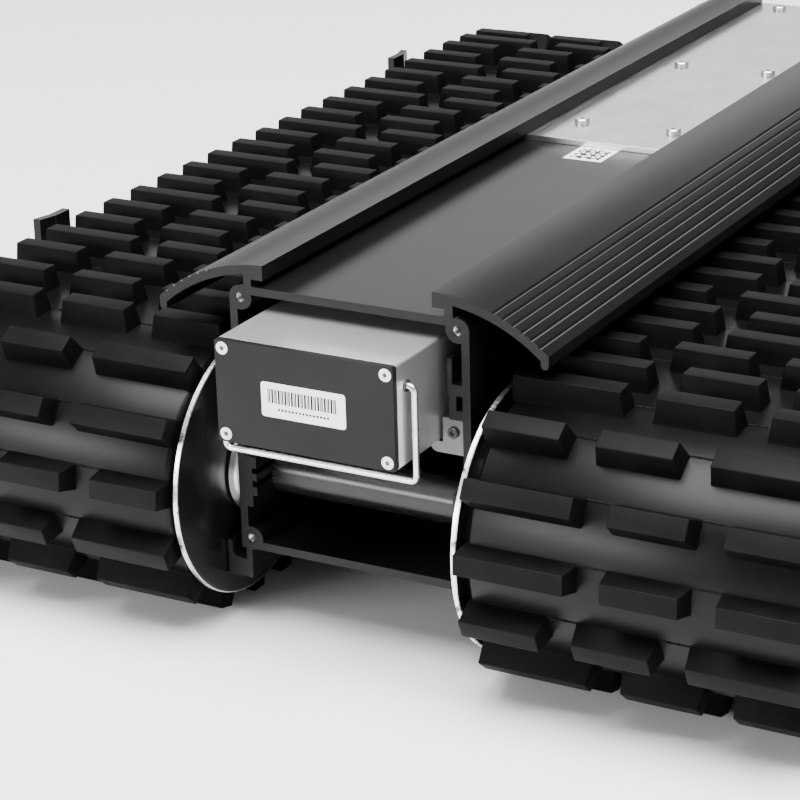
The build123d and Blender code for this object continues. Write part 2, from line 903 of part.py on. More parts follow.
def side_plate_screws(side):
    """Screws from the side plate into the ribs."""
    one = screw(1.9, 14.0, 3.8, 2.2, 2.5)
    outer = side * (side_plate_inner + side_plate_thickness)
    places = [(y, z) for y in rib_places for z in (52.0, 78.0)]
    return [facing(outer, y, z, outward(side)) * one for y, z in places]


# ---- Write every node ----

os.makedirs("parts", exist_ok=True)

save("body_extrusion", body_extrusion())
save("deck_plate", deck_plate())
save("deck_screws", *deck_screws())
save("rear_end_plate", end_plate())
save("end_plate_screws", *end_plate_screws())
save("code_label", code_label())
save("battery_rails", battery_rail(-1), battery_rail(1))
save("dock_socket", dock_socket())
save("dock_bridge", dock_bridge())
save("front_axle", front_axle())
save("axle_tube", axle_tube())
save("axle_collars", *axle_collars())
save("axle_nuts", *axle_nuts())
save("bay_screws", *battery_rail_screws(), *gearbox_screws())
save("motor_controller", controller())
save("shaft_end_bearings", side_bearing(-1), side_bearing(1))

save("battery_case", battery_case())
save("battery_front_plate", battery_plate(front=True))
save("battery_rear_plate", battery_plate(front=False))
save("battery_screws", *battery_screws())
save("battery_cells", *battery_cells())
save("battery_plug", battery_plug())
save("battery_label", battery_label())
save("bail_bushes", *bail_bushes())
save("carry_bail", carry_bail())

for side_name, side in sides.items():
    save(side_name + "_gearbox", gearbox(side))
    save(side_name + "_motor", motor(side))
    save(side_name + "_worm", worm(side))
    save(side_name + "_belt", belt(side))
    save(side_name + "_lugs", *lugs(side_name))
    save(side_name + "_slide_beds", slide_bed(side, True), slide_bed(side, False))
    save(side_name + "_ribs", *[rib(side, y) for y in rib_places])
    save(side_name + "_side_plate", side_plate(side))
    save(side_name + "_track_screws", *bed_screws(side), *side_plate_screws(side))
    for end_name, y in (("front", -axle_y), ("rear", axle_y)):
        name = end_name + "_" + side_name
        free = end_name == "front"
        save(name + "_drum_shell", drum_shell(side, y))
        save(name + "_flanges", flange(side, y, True, free), flange(side, y, False, free))
        save(name + "_tie_rods", *tie_rods(side, y))
        if free:
            save(name + "_bearings", *drum_bearings(side, y))
        else:
            save(name + "_drive_shaft", drive_shaft(side, y), worm_wheel(side))
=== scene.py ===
import json
import math

import bmesh
import bpy
from mathutils import Matrix, Vector


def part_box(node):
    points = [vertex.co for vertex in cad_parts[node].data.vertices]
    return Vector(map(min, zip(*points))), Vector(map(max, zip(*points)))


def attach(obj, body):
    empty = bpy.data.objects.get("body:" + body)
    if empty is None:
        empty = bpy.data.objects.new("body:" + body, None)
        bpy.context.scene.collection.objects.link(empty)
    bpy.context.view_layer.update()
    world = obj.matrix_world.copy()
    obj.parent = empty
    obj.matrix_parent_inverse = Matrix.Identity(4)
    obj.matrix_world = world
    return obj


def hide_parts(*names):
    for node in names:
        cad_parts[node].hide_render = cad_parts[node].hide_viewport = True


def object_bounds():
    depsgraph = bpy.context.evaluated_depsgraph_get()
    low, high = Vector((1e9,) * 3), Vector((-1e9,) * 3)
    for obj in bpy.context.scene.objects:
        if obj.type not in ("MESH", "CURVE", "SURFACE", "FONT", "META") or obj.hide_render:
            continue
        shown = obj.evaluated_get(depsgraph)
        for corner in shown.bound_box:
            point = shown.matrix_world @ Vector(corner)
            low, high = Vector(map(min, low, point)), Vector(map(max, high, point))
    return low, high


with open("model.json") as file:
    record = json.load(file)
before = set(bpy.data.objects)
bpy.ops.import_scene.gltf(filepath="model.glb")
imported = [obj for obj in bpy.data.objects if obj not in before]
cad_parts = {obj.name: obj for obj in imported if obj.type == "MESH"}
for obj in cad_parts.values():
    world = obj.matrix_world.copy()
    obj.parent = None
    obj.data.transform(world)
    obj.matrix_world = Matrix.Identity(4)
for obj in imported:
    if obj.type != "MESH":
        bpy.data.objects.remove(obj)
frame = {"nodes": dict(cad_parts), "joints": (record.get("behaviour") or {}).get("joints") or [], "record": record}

cad_low, cad_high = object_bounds()

MM = 0.001
SIDES = {"left": -1, "right": 1}
ENDS = ("front", "rear")
joints = {joint["name"]: joint for joint in frame["joints"]}


def box_of(node):
    """Lowest and highest corner of a CAD node, as vectors."""
    low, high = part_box(node)
    return Vector(low), Vector(high)


# ---- Driving places, read from the frame, and sizes that repeat the CAD's ----

AXLE_Y = abs(joints["front_left_drum_spin"]["pos_m"][1])
AXLE_Z = joints["front_left_drum_spin"]["pos_m"][2]
belt_low, belt_high = box_of("right_belt")
BELT_INNER_EDGE = belt_low.x
BELT_OUTER_EDGE = belt_high.x
BELT_WIDTH = BELT_OUTER_EDGE - BELT_INNER_EDGE
BELT_RADIUS = belt_high.z - AXLE_Z
BELT_THICKNESS = 7.0 * MM
LUG_ROWS = 57
MIRROR_EVERY = 3
LUG_FACE_WIDTH = 8.4 * MM
LONG_LUG = 46.6 * MM
MIDDLE_LUG = 31.8 * MM
LUG_GAP = 15.3 * MM
PITCH_RADIUS = 49.6 * MM
FIRST_ROW_ANGLE = {"left": 175.4, "right": 203.2}
# The upper run arches by the lift and moves along by the shift, both easing in from its ends.
TOP_RUN_LIFT = 2.0 * MM
TOP_RUN_SHIFT = {"left": 4.0 * MM, "right": 0.0}
TOP_RUN_EASE = 38.0 * MM
FLANGE_RADIUS = 56.9 * MM
FLANGE_THICKNESS = 2.45 * MM


# ---- Materials ----

def nodes_of(material):
    """The node tree's nodes and links, and its Principled shader."""
    material.use_nodes = True
    tree = material.node_tree
    return tree.nodes, tree.links, tree.nodes["Principled BSDF"]


def noise(nodes, links, scale, detail=3.0, stretch=(1.0, 1.0, 1.0)):
    """Noise in the object's own metres, stretched along an axis where asked."""
    place = nodes.new("ShaderNodeTexCoord")
    mapping = nodes.new("ShaderNodeMapping")
    mapping.inputs["Scale"].default_value = stretch
    texture = nodes.new("ShaderNodeTexNoise")
    texture.inputs["Scale"].default_value = scale
    texture.inputs["Detail"].default_value = detail
    links.new(place.outputs["Object"], mapping.inputs["Vector"])
    links.new(mapping.outputs["Vector"], texture.inputs["Vector"])
    return texture.outputs["Fac"]


def spread(nodes, links, value, low, high, start=0.3, stop=0.7):
    """Maps noise from its middle band to a range."""
    ramp = nodes.new("ShaderNodeMapRange")
    ramp.inputs["From Min"].default_value = start
    ramp.inputs["From Max"].default_value = stop
    ramp.inputs["To Min"].default_value = low
    ramp.inputs["To Max"].default_value = high
    links.new(value, ramp.inputs["Value"])
    return ramp.outputs["Result"]


def colour_mix(nodes, links, factor, low, high):
    """A colour between two others by a factor, each of them a fixed colour or a socket."""
    mix = nodes.new("ShaderNodeMix")
    mix.data_type = "RGBA"
    for name, colour in (("A", low), ("B", high)):
        if isinstance(colour, tuple):
            mix.inputs[name].default_value = (*colour, 1.0)
        else:
            links.new(colour, mix.inputs[name])
    links.new(factor, mix.inputs["Factor"])
    return mix.outputs["Result"]


def bump(nodes, links, shader, height, strength, distance):
    """Fine relief from a height value."""
    relief = nodes.new("ShaderNodeBump")
    relief.inputs["Strength"].default_value = strength
    relief.inputs["Distance"].default_value = distance
    links.new(height, relief.inputs["Height"])
    links.new(relief.outputs["Normal"], shader.inputs["Normal"])


def surface(name, low, high, rough, metallic=0.0, specular=0.5, patch=60.0, grain=1500.0,
            grain_stretch=(1.0, 1.0, 1.0), relief=0.25, relief_depth=0.00005):
    """A finish with patchy colour, uneven roughness and fine grain."""
    material = bpy.data.materials.new(name)
    nodes, links, shader = nodes_of(material)
    patches = noise(nodes, links, scale=patch)
    fine = noise(nodes, links, scale=grain, detail=4.0, stretch=grain_stretch)
    tone = colour_mix(nodes, links, spread(nodes, links, patches, low=0.0, high=1.0), low, high)
    links.new(tone, shader.inputs["Base Color"])
    links.new(spread(nodes, links, fine, *rough), shader.inputs["Roughness"])
    shader.inputs["Metallic"].default_value = metallic
    shader.inputs["Specular IOR Level"].default_value = specular
    bump(nodes, links, shader, fine, relief, relief_depth)
    return material


def grey(level):
    """A neutral grey."""
    return (level, level, level)


def calculated(nodes, links, operation, first, second=None):
    """The result of a math node on a socket, and on a second socket or a number."""
    step = nodes.new("ShaderNodeMath")
    step.operation = operation
    links.new(first, step.inputs[0])
    if isinstance(second, float):
        step.inputs[1].default_value = second
    elif second is not None:
        links.new(second, step.inputs[1])
    return step.outputs[0]


def normal_parts(nodes, links):
    """The X, Y and Z of the surface's true normal."""
    geometry = nodes.new("ShaderNodeNewGeometry")
    parts = nodes.new("ShaderNodeSeparateXYZ")
    links.new(geometry.outputs["True Normal"], parts.inputs["Vector"])
    return parts.outputs


END_FACING = 0.9
# A groove flank, where a highlight is painted, is found by its place times its normal, in metres: it leans back
# towards the middle in X, and faces up near the object's top in Z.
GROOVE_LEAN = -0.006
GROOVE_HEIGHT = 0.12


def end_mask(nodes, links):
    """One where the surface faces either way along Y, else zero."""
    size = calculated(nodes, links, "ABSOLUTE", normal_parts(nodes, links)["Y"])
    return calculated(nodes, links, "GREATER_THAN", size, END_FACING)


def groove_highlight_mask(nodes, links):
    """One on the groove flanks of the wings, which lean back towards the middle and carry a painted highlight,
    else zero.
    """
    place = nodes.new("ShaderNodeTexCoord")
    spot = nodes.new("ShaderNodeSeparateXYZ")
    links.new(place.outputs["Object"], spot.inputs["Vector"])
    normal = normal_parts(nodes, links)
    lean = calculated(nodes, links, "MULTIPLY", spot.outputs["X"], normal["X"])
    height = calculated(nodes, links, "MULTIPLY", spot.outputs["Z"], normal["Z"])
    inward = calculated(nodes, links, "LESS_THAN", lean, GROOVE_LEAN)
    upward = calculated(nodes, links, "GREATER_THAN", height, GROOVE_HEIGHT)
    return calculated(nodes, links, "MULTIPLY", inward, upward)


def anodised_black():
    """Satin black extrusion with drawn lines, lighter sawn ends, and a painted highlight on the groove flanks."""
    material = bpy.data.materials.new("satin_black_anodising")
    nodes, links, shader = nodes_of(material)
    drawn = noise(nodes, links, scale=1600.0, detail=2.0, stretch=(1.0, 0.004, 1.0))
    patches = noise(nodes, links, scale=22.0)
    sawn = noise(nodes, links, scale=1400.0, detail=4.0, stretch=(0.08, 1.0, 1.0))
    ends = end_mask(nodes, links)
    patchy = spread(nodes, links, patches, low=0.0, high=1.0)
    skin = colour_mix(nodes, links, patchy, low=grey(0.0035), high=grey(0.0055))
    streaky = spread(nodes, links, sawn, low=0.0, high=1.0)
    cut = colour_mix(nodes, links, streaky, low=grey(0.008), high=grey(0.013))
    tone = colour_mix(nodes, links, ends, low=skin, high=cut)
    # Painted highlight: the groove flanks get a lighter base colour that stands in for light caught on their
    # edges.
    groove_highlight_tone = colour_mix(nodes, links, groove_highlight_mask(nodes, links), low=tone, high=grey(0.060))
    links.new(groove_highlight_tone, shader.inputs["Base Color"])
    rough = nodes.new("ShaderNodeMix")
    links.new(ends, rough.inputs["Factor"])
    links.new(spread(nodes, links, drawn, low=0.285, high=0.300), rough.inputs["A"])
    rough.inputs["B"].default_value = 0.55
    links.new(rough.outputs["Result"], shader.inputs["Roughness"])
    shader.inputs["Specular IOR Level"].default_value = 0.15
    bump(nodes, links, shader, drawn, strength=0.02, distance=0.00001)
    return material


def worn_bright():
    """Polished steel edge with dark nicks."""
    material = bpy.data.materials.new("worn_bright_rim")
    nodes, links, shader = nodes_of(material)
    nicks = noise(nodes, links, scale=330.0, detail=5.0, stretch=(1.0, 0.6, 0.6))
    fine = noise(nodes, links, scale=2500.0, detail=2.0, stretch=(0.2, 1.0, 1.0))
    polish = spread(nodes, links, nicks, low=0.0, high=1.0, start=0.33, stop=0.40)
    tone = colour_mix(nodes, links, polish, low=grey(0.16), high=grey(0.93))
    links.new(tone, shader.inputs["Base Color"])
    links.new(spread(nodes, links, fine, low=0.22, high=0.40), shader.inputs["Roughness"])
    shader.inputs["Metallic"].default_value = 1.0
    bump(nodes, links, shader, nicks, strength=0.2, distance=0.00008)
    return material


MATERIALS = {
    "anodised": anodised_black(),
    "bright_rim": worn_bright(),
    "belt_rubber": surface("satin_belt_rubber", grey(0.0015), grey(0.003), (0.28, 0.38), specular=0.15,
                           patch=45.0, grain=1700.0, relief=0.35, relief_depth=0.00006),
    "lug_rubber": surface("matt_lug_rubber", grey(0.0032), grey(0.0048), (0.45, 0.55), specular=0.06,
                          patch=70.0, grain=2200.0, relief=0.35, relief_depth=0.00005),
    # Painted shade: the same rubber as the lugs with a darker base colour, for the shade that falls on the flanks
    # between the rows.
    "painted_shade_flanks": surface("rubber_with_painted_flank_shade", grey(0.0012), grey(0.0024), (0.50, 0.62), specular=0.05,
                            patch=70.0, grain=2200.0, relief=0.35, relief_depth=0.00005),
    "gloss_black": surface("gloss_black_disc", grey(0.004), grey(0.0055), (0.22, 0.25), specular=0.75,
                           patch=55.0, grain=70.0, relief=0.01, relief_depth=0.00001),
    "collar": surface("turned_collar", grey(0.80), grey(0.90), (0.30, 0.36), metallic=1.0, patch=60.0,
                      grain=1500.0, grain_stretch=(1.0, 0.03, 0.03), relief=0.06, relief_depth=0.00002),
    "oxide": surface("black_oxide_screw", grey(0.03), grey(0.05), (0.35, 0.45), metallic=0.6, patch=120.0,
                     grain=1800.0, relief=0.12, relief_depth=0.00002),
    "thread": surface("cut_thread", grey(0.22), grey(0.45), (0.25, 0.35), metallic=1.0, patch=400.0,
                      grain=1800.0, relief=0.10, relief_depth=0.00002),
    "beaded": surface("bead_blasted_aluminium", grey(0.88), grey(0.93), (0.35, 0.42), metallic=0.96,
                      patch=30.0, grain=3200.0, relief=0.18, relief_depth=0.00003),
    "brushed": surface("brushed_aluminium", grey(0.68), grey(0.80), (0.26, 0.38), metallic=1.0,
                       patch=40.0, grain=1500.0, grain_stretch=(1.0, 0.02, 1.0), relief=0.15),
    "bright": surface("bright_steel", grey(0.62), grey(0.74), (0.20, 0.30), metallic=1.0,
                      patch=120.0, grain=1800.0, relief=0.10, relief_depth=0.00002),
    "wire": surface("drawn_steel_wire", grey(0.66), grey(0.80), (0.22, 0.34), metallic=1.0,
                    patch=150.0, grain=2200.0, relief=0.12, relief_depth=0.00002),
    "plate": surface("satin_black_plate", grey(0.006), grey(0.009), (0.42, 0.52), specular=0.15,
                     patch=50.0, grain=2600.0, relief=0.15, relief_depth=0.00003),
    "plastic": surface("black_plastic", grey(0.022), grey(0.032), (0.40, 0.55), patch=90.0,
                       grain=1800.0, relief=0.25),
    "paper": surface("matt_label", grey(0.86), grey(0.91), (0.45, 0.60), patch=80.0, grain=2500.0,
                     relief=0.08, relief_depth=0.00002),
    "ink": surface("dark_ink", grey(0.010), grey(0.025), (0.6, 0.7), specular=0.1, patch=200.0,
                   grain=2500.0, relief=0.05),
    "rail": surface("grey_bay_rail", grey(0.10), grey(0.15), (0.38, 0.50), metallic=1.0, patch=70.0,
                    grain=1500.0, grain_stretch=(1.0, 0.02, 1.0), relief=0.15),
    "housing": surface("cast_housing", grey(0.045), grey(0.075), (0.50, 0.65), patch=90.0,
                       grain=700.0, relief=0.45, relief_depth=0.00015),
    "can": surface("plated_motor_can", grey(0.58), grey(0.68), (0.25, 0.36), metallic=1.0, patch=60.0,
                   grain=1300.0, grain_stretch=(1.0, 0.03, 1.0), relief=0.12),
    "cell": surface("cell_sleeve", (0.07, 0.16, 0.30), (0.10, 0.20, 0.36), (0.25, 0.35), patch=60.0,
                    grain=900.0, relief=0.08),
    "black_tube": surface("black_axle_tube", grey(0.004), grey(0.008), (0.22, 0.29), specular=0.42,
                          patch=60.0, grain=1500.0, grain_stretch=(0.05, 1.0, 1.0), relief=0.12),
}


# ---- Mesh helpers ----

def new_piece(name, points, faces, body, materials, picks=None, smooth=40.0):
    """A mesh piece that rides on a body and takes its finish from a slot."""
    mesh = bpy.data.meshes.new(name)
    mesh.from_pydata([tuple(p) for p in points], [], faces)
    for key in materials:
        mesh.materials.append(MATERIALS[key])
    if picks:
        mesh.polygons.foreach_set("material_index", picks)
    mesh.validate()
    mesh.update()
    piece = bpy.data.objects.new(name, mesh)
    bpy.context.scene.collection.objects.link(piece)
    mesh.shade_smooth()
    mesh.set_sharp_from_angle(angle=math.radians(smooth))
    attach(piece, body)
    return piece


def body_of(node):
    """The body that a node belongs to."""
    for body, members in frame["record"]["behaviour"]["bodies"].items():
        if node in members:
            return body
    return "root"


WELD_DISTANCE = 0.002 * MM
FLAT_ANGLE = math.radians(0.6)
ROUNDED_ANGLE = math.radians(30)
CREASE_ANGLE = math.radians(38)
EDGE_SEGMENTS = 2
EDGE_PROFILE = 0.6


def refined(node, width, material):
    """A copy of a CAD node with rounded edges and clean shading, standing for the node."""
    shape = bmesh.new()
    shape.from_mesh(frame["nodes"][node].data)
    bmesh.ops.remove_doubles(shape, verts=shape.verts, dist=WELD_DISTANCE)
    bmesh.ops.dissolve_limit(shape, angle_limit=FLAT_ANGLE, verts=shape.verts, edges=shape.edges)
    sharp = [e for e in shape.edges if e.is_manifold and e.calc_face_angle(0.0) > ROUNDED_ANGLE]
    bmesh.ops.bevel(shape, geom=sharp, offset=width, segments=EDGE_SEGMENTS, profile=EDGE_PROFILE,
                    affect="EDGES", clamp_overlap=False)
    mesh = bpy.data.meshes.new(node + "_finished")
    shape.to_mesh(mesh)
    shape.free()
    if "custom_normal" in mesh.attributes:
        mesh.attributes.remove(mesh.attributes["custom_normal"])
    mesh.materials.clear()
    mesh.materials.append(MATERIALS[material])
    mesh.shade_smooth()
    mesh.set_sharp_from_angle(angle=CREASE_ANGLE)
    piece = bpy.data.objects.new(node + "_finished", mesh)
    bpy.context.scene.collection.objects.link(piece)
    weighted = piece.modifiers.new("even_shading", "WEIGHTED_NORMAL")
    weighted.keep_sharp = True
    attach(piece, body_of(node))
    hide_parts(node)


def repaint(node, material):
    """Gives a CAD node a better finish."""
    node_object = frame["nodes"][node]
    for slot in node_object.material_slots:
        slot.material = MATERIALS[material]


def lathe_x(profile, y, z, side, steps, start):
    """Points and faces of a closed profile of (x, radius), turned about an X axis.

    The faces count their points from start on."""
    count = len(profile)
    points = []
    for step in range(steps):
        turn = 2 * math.pi * step / steps
        for x, radius in profile:
            points.append((side * x, y + radius * math.cos(turn), z + radius * math.sin(turn)))
    faces = []
    for step in range(steps):
        here = start + step * count
        there = start + (step + 1) % steps * count
        for k in range(count):
            following = (k + 1) % count
            face = (here + k, here + following, there + following, there + k)
            faces.append(face if side > 0 else face[::-1])
    return points, faces


# ---- Belts and lugs ----

def ease(value):
    """Smooth step from zero to one."""
    value = min(max(value, 0.0), 1.0)
    return value * value * (3 - 2 * value)


def belt_place(distance, side_name):
    """Centre-line place of the belt: y, extra height and the outward normal's angle from +Z."""
    arc = math.pi * PITCH_RADIUS
    run = 2 * AXLE_Y
    distance %= 2 * (arc + run)
    if distance < arc:
        return -AXLE_Y, 0.0, distance / PITCH_RADIUS
    distance -= arc
    if distance < run:
        return -AXLE_Y + distance, 0.0, math.pi
    distance -= run
    if distance < arc:
        return AXLE_Y, 0.0, math.pi + distance / PITCH_RADIUS
    y = AXLE_Y - (distance - arc)
    near = ease((y + AXLE_Y) / TOP_RUN_EASE)
    far = ease((AXLE_Y - y) / TOP_RUN_EASE)
    shift = TOP_RUN_SHIFT[side_name] * near * far
    return y + shift, TOP_RUN_LIFT * near * far, 2 * math.pi


def on_belt(x, along, out, place, side):
    """A point of the belt frame: across, along the belt and outward from the axle line."""
    y, lift, tilt = place
    turned_y = along * math.cos(tilt) - out * math.sin(tilt)
    turned_z = along * math.sin(tilt) + out * math.cos(tilt)
    return (side * x, y + turned_y, AXLE_Z + turned_z + lift)


BELT_STATIONS_ARC = 40
BELT_STATIONS_RUN = 42
BELT_EDGE_CHAMFER = 2.0 * MM
BELT_EDGE_ROUND = 0.6 * MM
# How far a chamfer's corners stand out, as a share of the chamfer.
BELT_EDGE_BULGE = 0.15


def belt_section():
    """The belt's cross-section as across and outward, with chamfered upper edges."""
    inner = BELT_RADIUS - BELT_THICKNESS
    outer = BELT_RADIUS
    low = BELT_INNER_EDGE
    high = BELT_OUTER_EDGE
    cut = BELT_EDGE_CHAMFER
    tip = BELT_EDGE_ROUND
    bulge = BELT_EDGE_BULGE * cut
    return [
        (low + tip, inner), (high - tip, inner), (high, inner + tip),
        (high, outer - cut - tip), (high - bulge, outer - cut), (high - cut, outer - bulge),
        (high - cut - tip, outer), (low + cut + tip, outer),
        (low + cut, outer - bulge), (low + bulge, outer - cut), (low, outer - cut - tip),
        (low, inner + tip),
    ]


def belt_distances():
    """Distances along the belt where its mesh has a section."""
    arc = math.pi * PITCH_RADIUS
    run = 2 * AXLE_Y
    stops = []
    start = 0.0
    for length, count in ((arc, BELT_STATIONS_ARC), (run, BELT_STATIONS_RUN)) * 2:
        stops += [start + length * k / count for k in range(count)]
        start += length
    return stops


def make_belt(side_name):
    """The rubber belt as one loop of sections."""
    side = SIDES[side_name]
    section = belt_section()
    points = []
    distances = belt_distances()
    for distance in distances:
        place = belt_place(distance, side_name)
        points += [on_belt(x, 0.0, out, place, side) for x, out in section]
    count = len(section)
    faces = []
    for row in range(len(distances)):
        here = row * count
        there = (row + 1) % len(distances) * count
        for k in range(count):
            following = (k + 1) % count
            face = (here + k, there + k, there + following, here + following)
            faces.append(face if side > 0 else face[::-1])
    piece = new_piece(side_name + "_belt_band", points, faces, "root", ["belt_rubber"])
    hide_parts(side_name + "_belt")


LUG_CORNER_POINTS = 3
LUG_RINGS = (
    # outward reach, growth beyond the face's outline, corner radius, all in millimetres
    (54.2, 1.9, 1.0),
    (55.2, 1.6, 0.8),
    (55.9, 1.4, 0.6),
    (64.65, 0.08, 0.45),
    (64.92, -0.05, 0.40),
    (65.0, -0.28, 0.35),
)
LUG_FLANK_RINGS = 3


def rounded_rectangle(x0, x1, y0, y1, radius):
    """Corner-rounded outline as a list of points."""
    corners = ((x1, y1, 0), (x0, y1, 90), (x0, y0, 180), (x1, y0, 270))
    outline = []
    for x, y, start in corners:
        cx = x - radius if x == x1 else x + radius
        cy = y - radius if y == y1 else y + radius
        for k in range(LUG_CORNER_POINTS):
            turn = math.radians(start + 90 * k / (LUG_CORNER_POINTS - 1))
            outline.append((cx + radius * math.cos(turn), cy + radius * math.sin(turn)))
    return outline


def add_lug(points, faces, picks, start, stop, place, side):
    """One moulded lug with a soft foot, sloped flanks and rounded upper edges."""
    half = LUG_FACE_WIDTH / 2
    base = len(points)
    for reach, growth, corner in LUG_RINGS:
        growth *= MM
        x0 = start - growth if start > 0 else start - min(growth, 0.0)
        x1 = stop + growth if stop < BELT_WIDTH else stop + min(growth, 0.0)
        outline = rounded_rectangle(BELT_INNER_EDGE + x0, BELT_INNER_EDGE + x1,
                                    -half - growth, half + growth, corner * MM)
        points.extend(on_belt(x, along, reach * MM, place, side) for x, along in outline)
    count = 4 * LUG_CORNER_POINTS
    for ring in range(len(LUG_RINGS) - 1):
        here = base + ring * count
        for k in range(count):
            following = (k + 1) % count
            face = (here + k, here + following, here + count + following, here + count + k)
            faces.append(face if side > 0 else face[::-1])
            # The foot and flank rings take the darker copy of the rubber, which paints shade on them.
            picks.append(1 if ring < LUG_FLANK_RINGS else 0)
    top = [base + (len(LUG_RINGS) - 1) * count + k for k in range(count)]
    bottom = [base + k for k in range(count)]
    faces.append(tuple(top) if side > 0 else tuple(reversed(top)))
    faces.append(tuple(reversed(bottom)) if side > 0 else tuple(bottom))
    picks.extend((0, 0))


SEAM_HALF_WIDTH = 0.35 * MM
SEAM_HEIGHT = 0.14 * MM
SEAM_OFFSET = 5.4 * MM
SEAM_SINK = 0.05 * MM
SEAM_OVERLAP = 1.2 * MM
NIB_SHARES = (0.36, 0.6)
NIB_RADIUS = 0.55 * MM
NIB_HEIGHT = 0.4 * MM
# The shoulder's radius and height are shares of the nib's.
NIB_SHOULDER_RADIUS = 0.75
NIB_SHOULDER_HEIGHT = 0.7
NIB_SIDES = 8


def add_seam(points, faces, picks, start, stop, place, side):
    """The parting ridge between two lugs of a row, with two small moulding nibs."""
    root = BELT_RADIUS - SEAM_SINK
    crest = BELT_RADIUS + SEAM_HEIGHT
    base = len(points)
    for x in (start - SEAM_OVERLAP, stop + SEAM_OVERLAP):
        for along, out in ((-SEAM_HALF_WIDTH, root), (0.0, crest), (SEAM_HALF_WIDTH, root)):
            points.append(on_belt(BELT_INNER_EDGE + x, SEAM_OFFSET + along, out, place, side))
    for face in ((0, 1, 4, 3), (1, 2, 5, 4), (2, 0, 3, 5), (0, 2, 1), (3, 4, 5)):
        ordered = face[::-1] if side > 0 else face
        faces.append(tuple(base + k for k in ordered))
        picks.append(0)
    shoulder = BELT_RADIUS + NIB_SHOULDER_HEIGHT * NIB_HEIGHT
    for share in NIB_SHARES:
        centre = BELT_INNER_EDGE + start + (stop - start) * share
        base = len(points)
        for out, scale in ((root, 1.0), (shoulder, NIB_SHOULDER_RADIUS)):
            for k in range(NIB_SIDES):
                turn = 2 * math.pi * k / NIB_SIDES
                across = centre + NIB_RADIUS * scale * math.cos(turn)
                along = SEAM_OFFSET + NIB_RADIUS * scale * math.sin(turn)
                points.append(on_belt(across, along, out, place, side))
        points.append(on_belt(centre, SEAM_OFFSET, BELT_RADIUS + NIB_HEIGHT, place, side))
        tip = base + 2 * NIB_SIDES
        for k in range(NIB_SIDES):
            following = (k + 1) % NIB_SIDES
            wall = (base + k, base + following, base + NIB_SIDES + following, base + NIB_SIDES + k)
            cap = (base + NIB_SIDES + k, base + NIB_SIDES + following, tip)
            faces.append(wall if side > 0 else wall[::-1])
            faces.append(cap if side > 0 else cap[::-1])
            picks.extend((0, 0))
        bottom = tuple(base + k for k in range(NIB_SIDES))
        faces.append(bottom[::-1] if side > 0 else bottom)
        picks.append(0)


def lug_spans(mirrored):
    """Start and stop of the three lugs of one row, across the belt."""
    middle_start = LONG_LUG + LUG_GAP
    last_start = middle_start + MIDDLE_LUG + LUG_GAP
    spans = [(0.0, LONG_LUG), (middle_start, middle_start + MIDDLE_LUG), (last_start, BELT_WIDTH)]
    if mirrored:
        spans = [(BELT_WIDTH - stop, BELT_WIDTH - start) for start, stop in reversed(spans)]
    return spans


def make_lugs(side_name):
    """All rows of lugs of one belt, every third row mirrored."""
    side = SIDES[side_name]
    length = 2 * (math.pi * PITCH_RADIUS + 2 * AXLE_Y)
    pitch = length / LUG_ROWS
    first = math.radians(FIRST_ROW_ANGLE[side_name] - 90) * PITCH_RADIUS
    points = []
    faces = []
    picks = []
    for row in range(LUG_ROWS):
        place = belt_place(first + row * pitch, side_name)
        spans = lug_spans(mirrored=row % MIRROR_EVERY == 0)
        for start, stop in spans:
            add_lug(points, faces, picks, start, stop, place, side)
        for before, after in zip(spans, spans[1:]):
            add_seam(points, faces, picks, before[1], after[0], place, side)
    piece = new_piece(side_name + "_lug_rows", points, faces, "root",
                      ["lug_rubber", "painted_shade_flanks"], picks, smooth=50.0)
    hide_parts(side_name + "_lugs")


for side_name in SIDES:
    make_belt(side_name)
    make_lugs(side_name)


# ---- Drum flanges ----

DISC_RIM_ROUND = 0.35 * MM
RIM_BEVEL_START = FLANGE_RADIUS - 1.6 * MM
RIM_BEVEL_STOP = FLANGE_RADIUS - 0.5 * MM
RIM_BEVEL_DEPTH = 0.12 * MM
BRIGHT_RIM_RADIUS = FLANGE_RADIUS - 0.55 * MM
PLAIN_FACE_RADIUS = 30.0 * MM
SPIGOT_RADIUS = 44.5 * MM
SPIGOT_LENGTH = 5.0 * MM
FLANGE_BORE = {"front": 14.05 * MM, "rear": 7.55 * MM}
FLANGE_STEPS = 128
CAD_FLARE_HEIGHT = 1.5 * MM
FLARE_STEPS = 12
FLARE_START = 21.2 * MM
FLARE_WIDTH = 10.0 * MM
FLARE_HEIGHT = 0.66 * MM
FLARE_POWER = 2.2


def disc_profile(face_x, inward, bore, flared):
    """Closed outline of one drum flange as (x, radius), from the bore round the rim and back."""
    back_x = face_x + inward * FLANGE_THICKNESS
    tip = DISC_RIM_ROUND
    outline = []
    if flared:
        outline.append((face_x - inward * FLARE_HEIGHT, bore))
        for k in range(FLARE_STEPS + 1):
            share = k / FLARE_STEPS
            radius = FLARE_START + FLARE_WIDTH * share
            rise = FLARE_HEIGHT * (1 - share) ** FLARE_POWER
            outline.append((face_x - inward * rise, radius))
    else:
        outline.append((face_x, bore))
        outline.append((face_x, PLAIN_FACE_RADIUS))
    outline += [
        (face_x, RIM_BEVEL_START),
        (face_x + inward * RIM_BEVEL_DEPTH, RIM_BEVEL_STOP),
        (face_x + inward * tip, FLANGE_RADIUS),
        (back_x - inward * tip, FLANGE_RADIUS),
        (back_x, FLANGE_RADIUS - tip),
        (back_x, SPIGOT_RADIUS),
        (back_x + inward * SPIGOT_LENGTH, SPIGOT_RADIUS),
        (back_x + inward * SPIGOT_LENGTH, bore),
    ]
    return outline


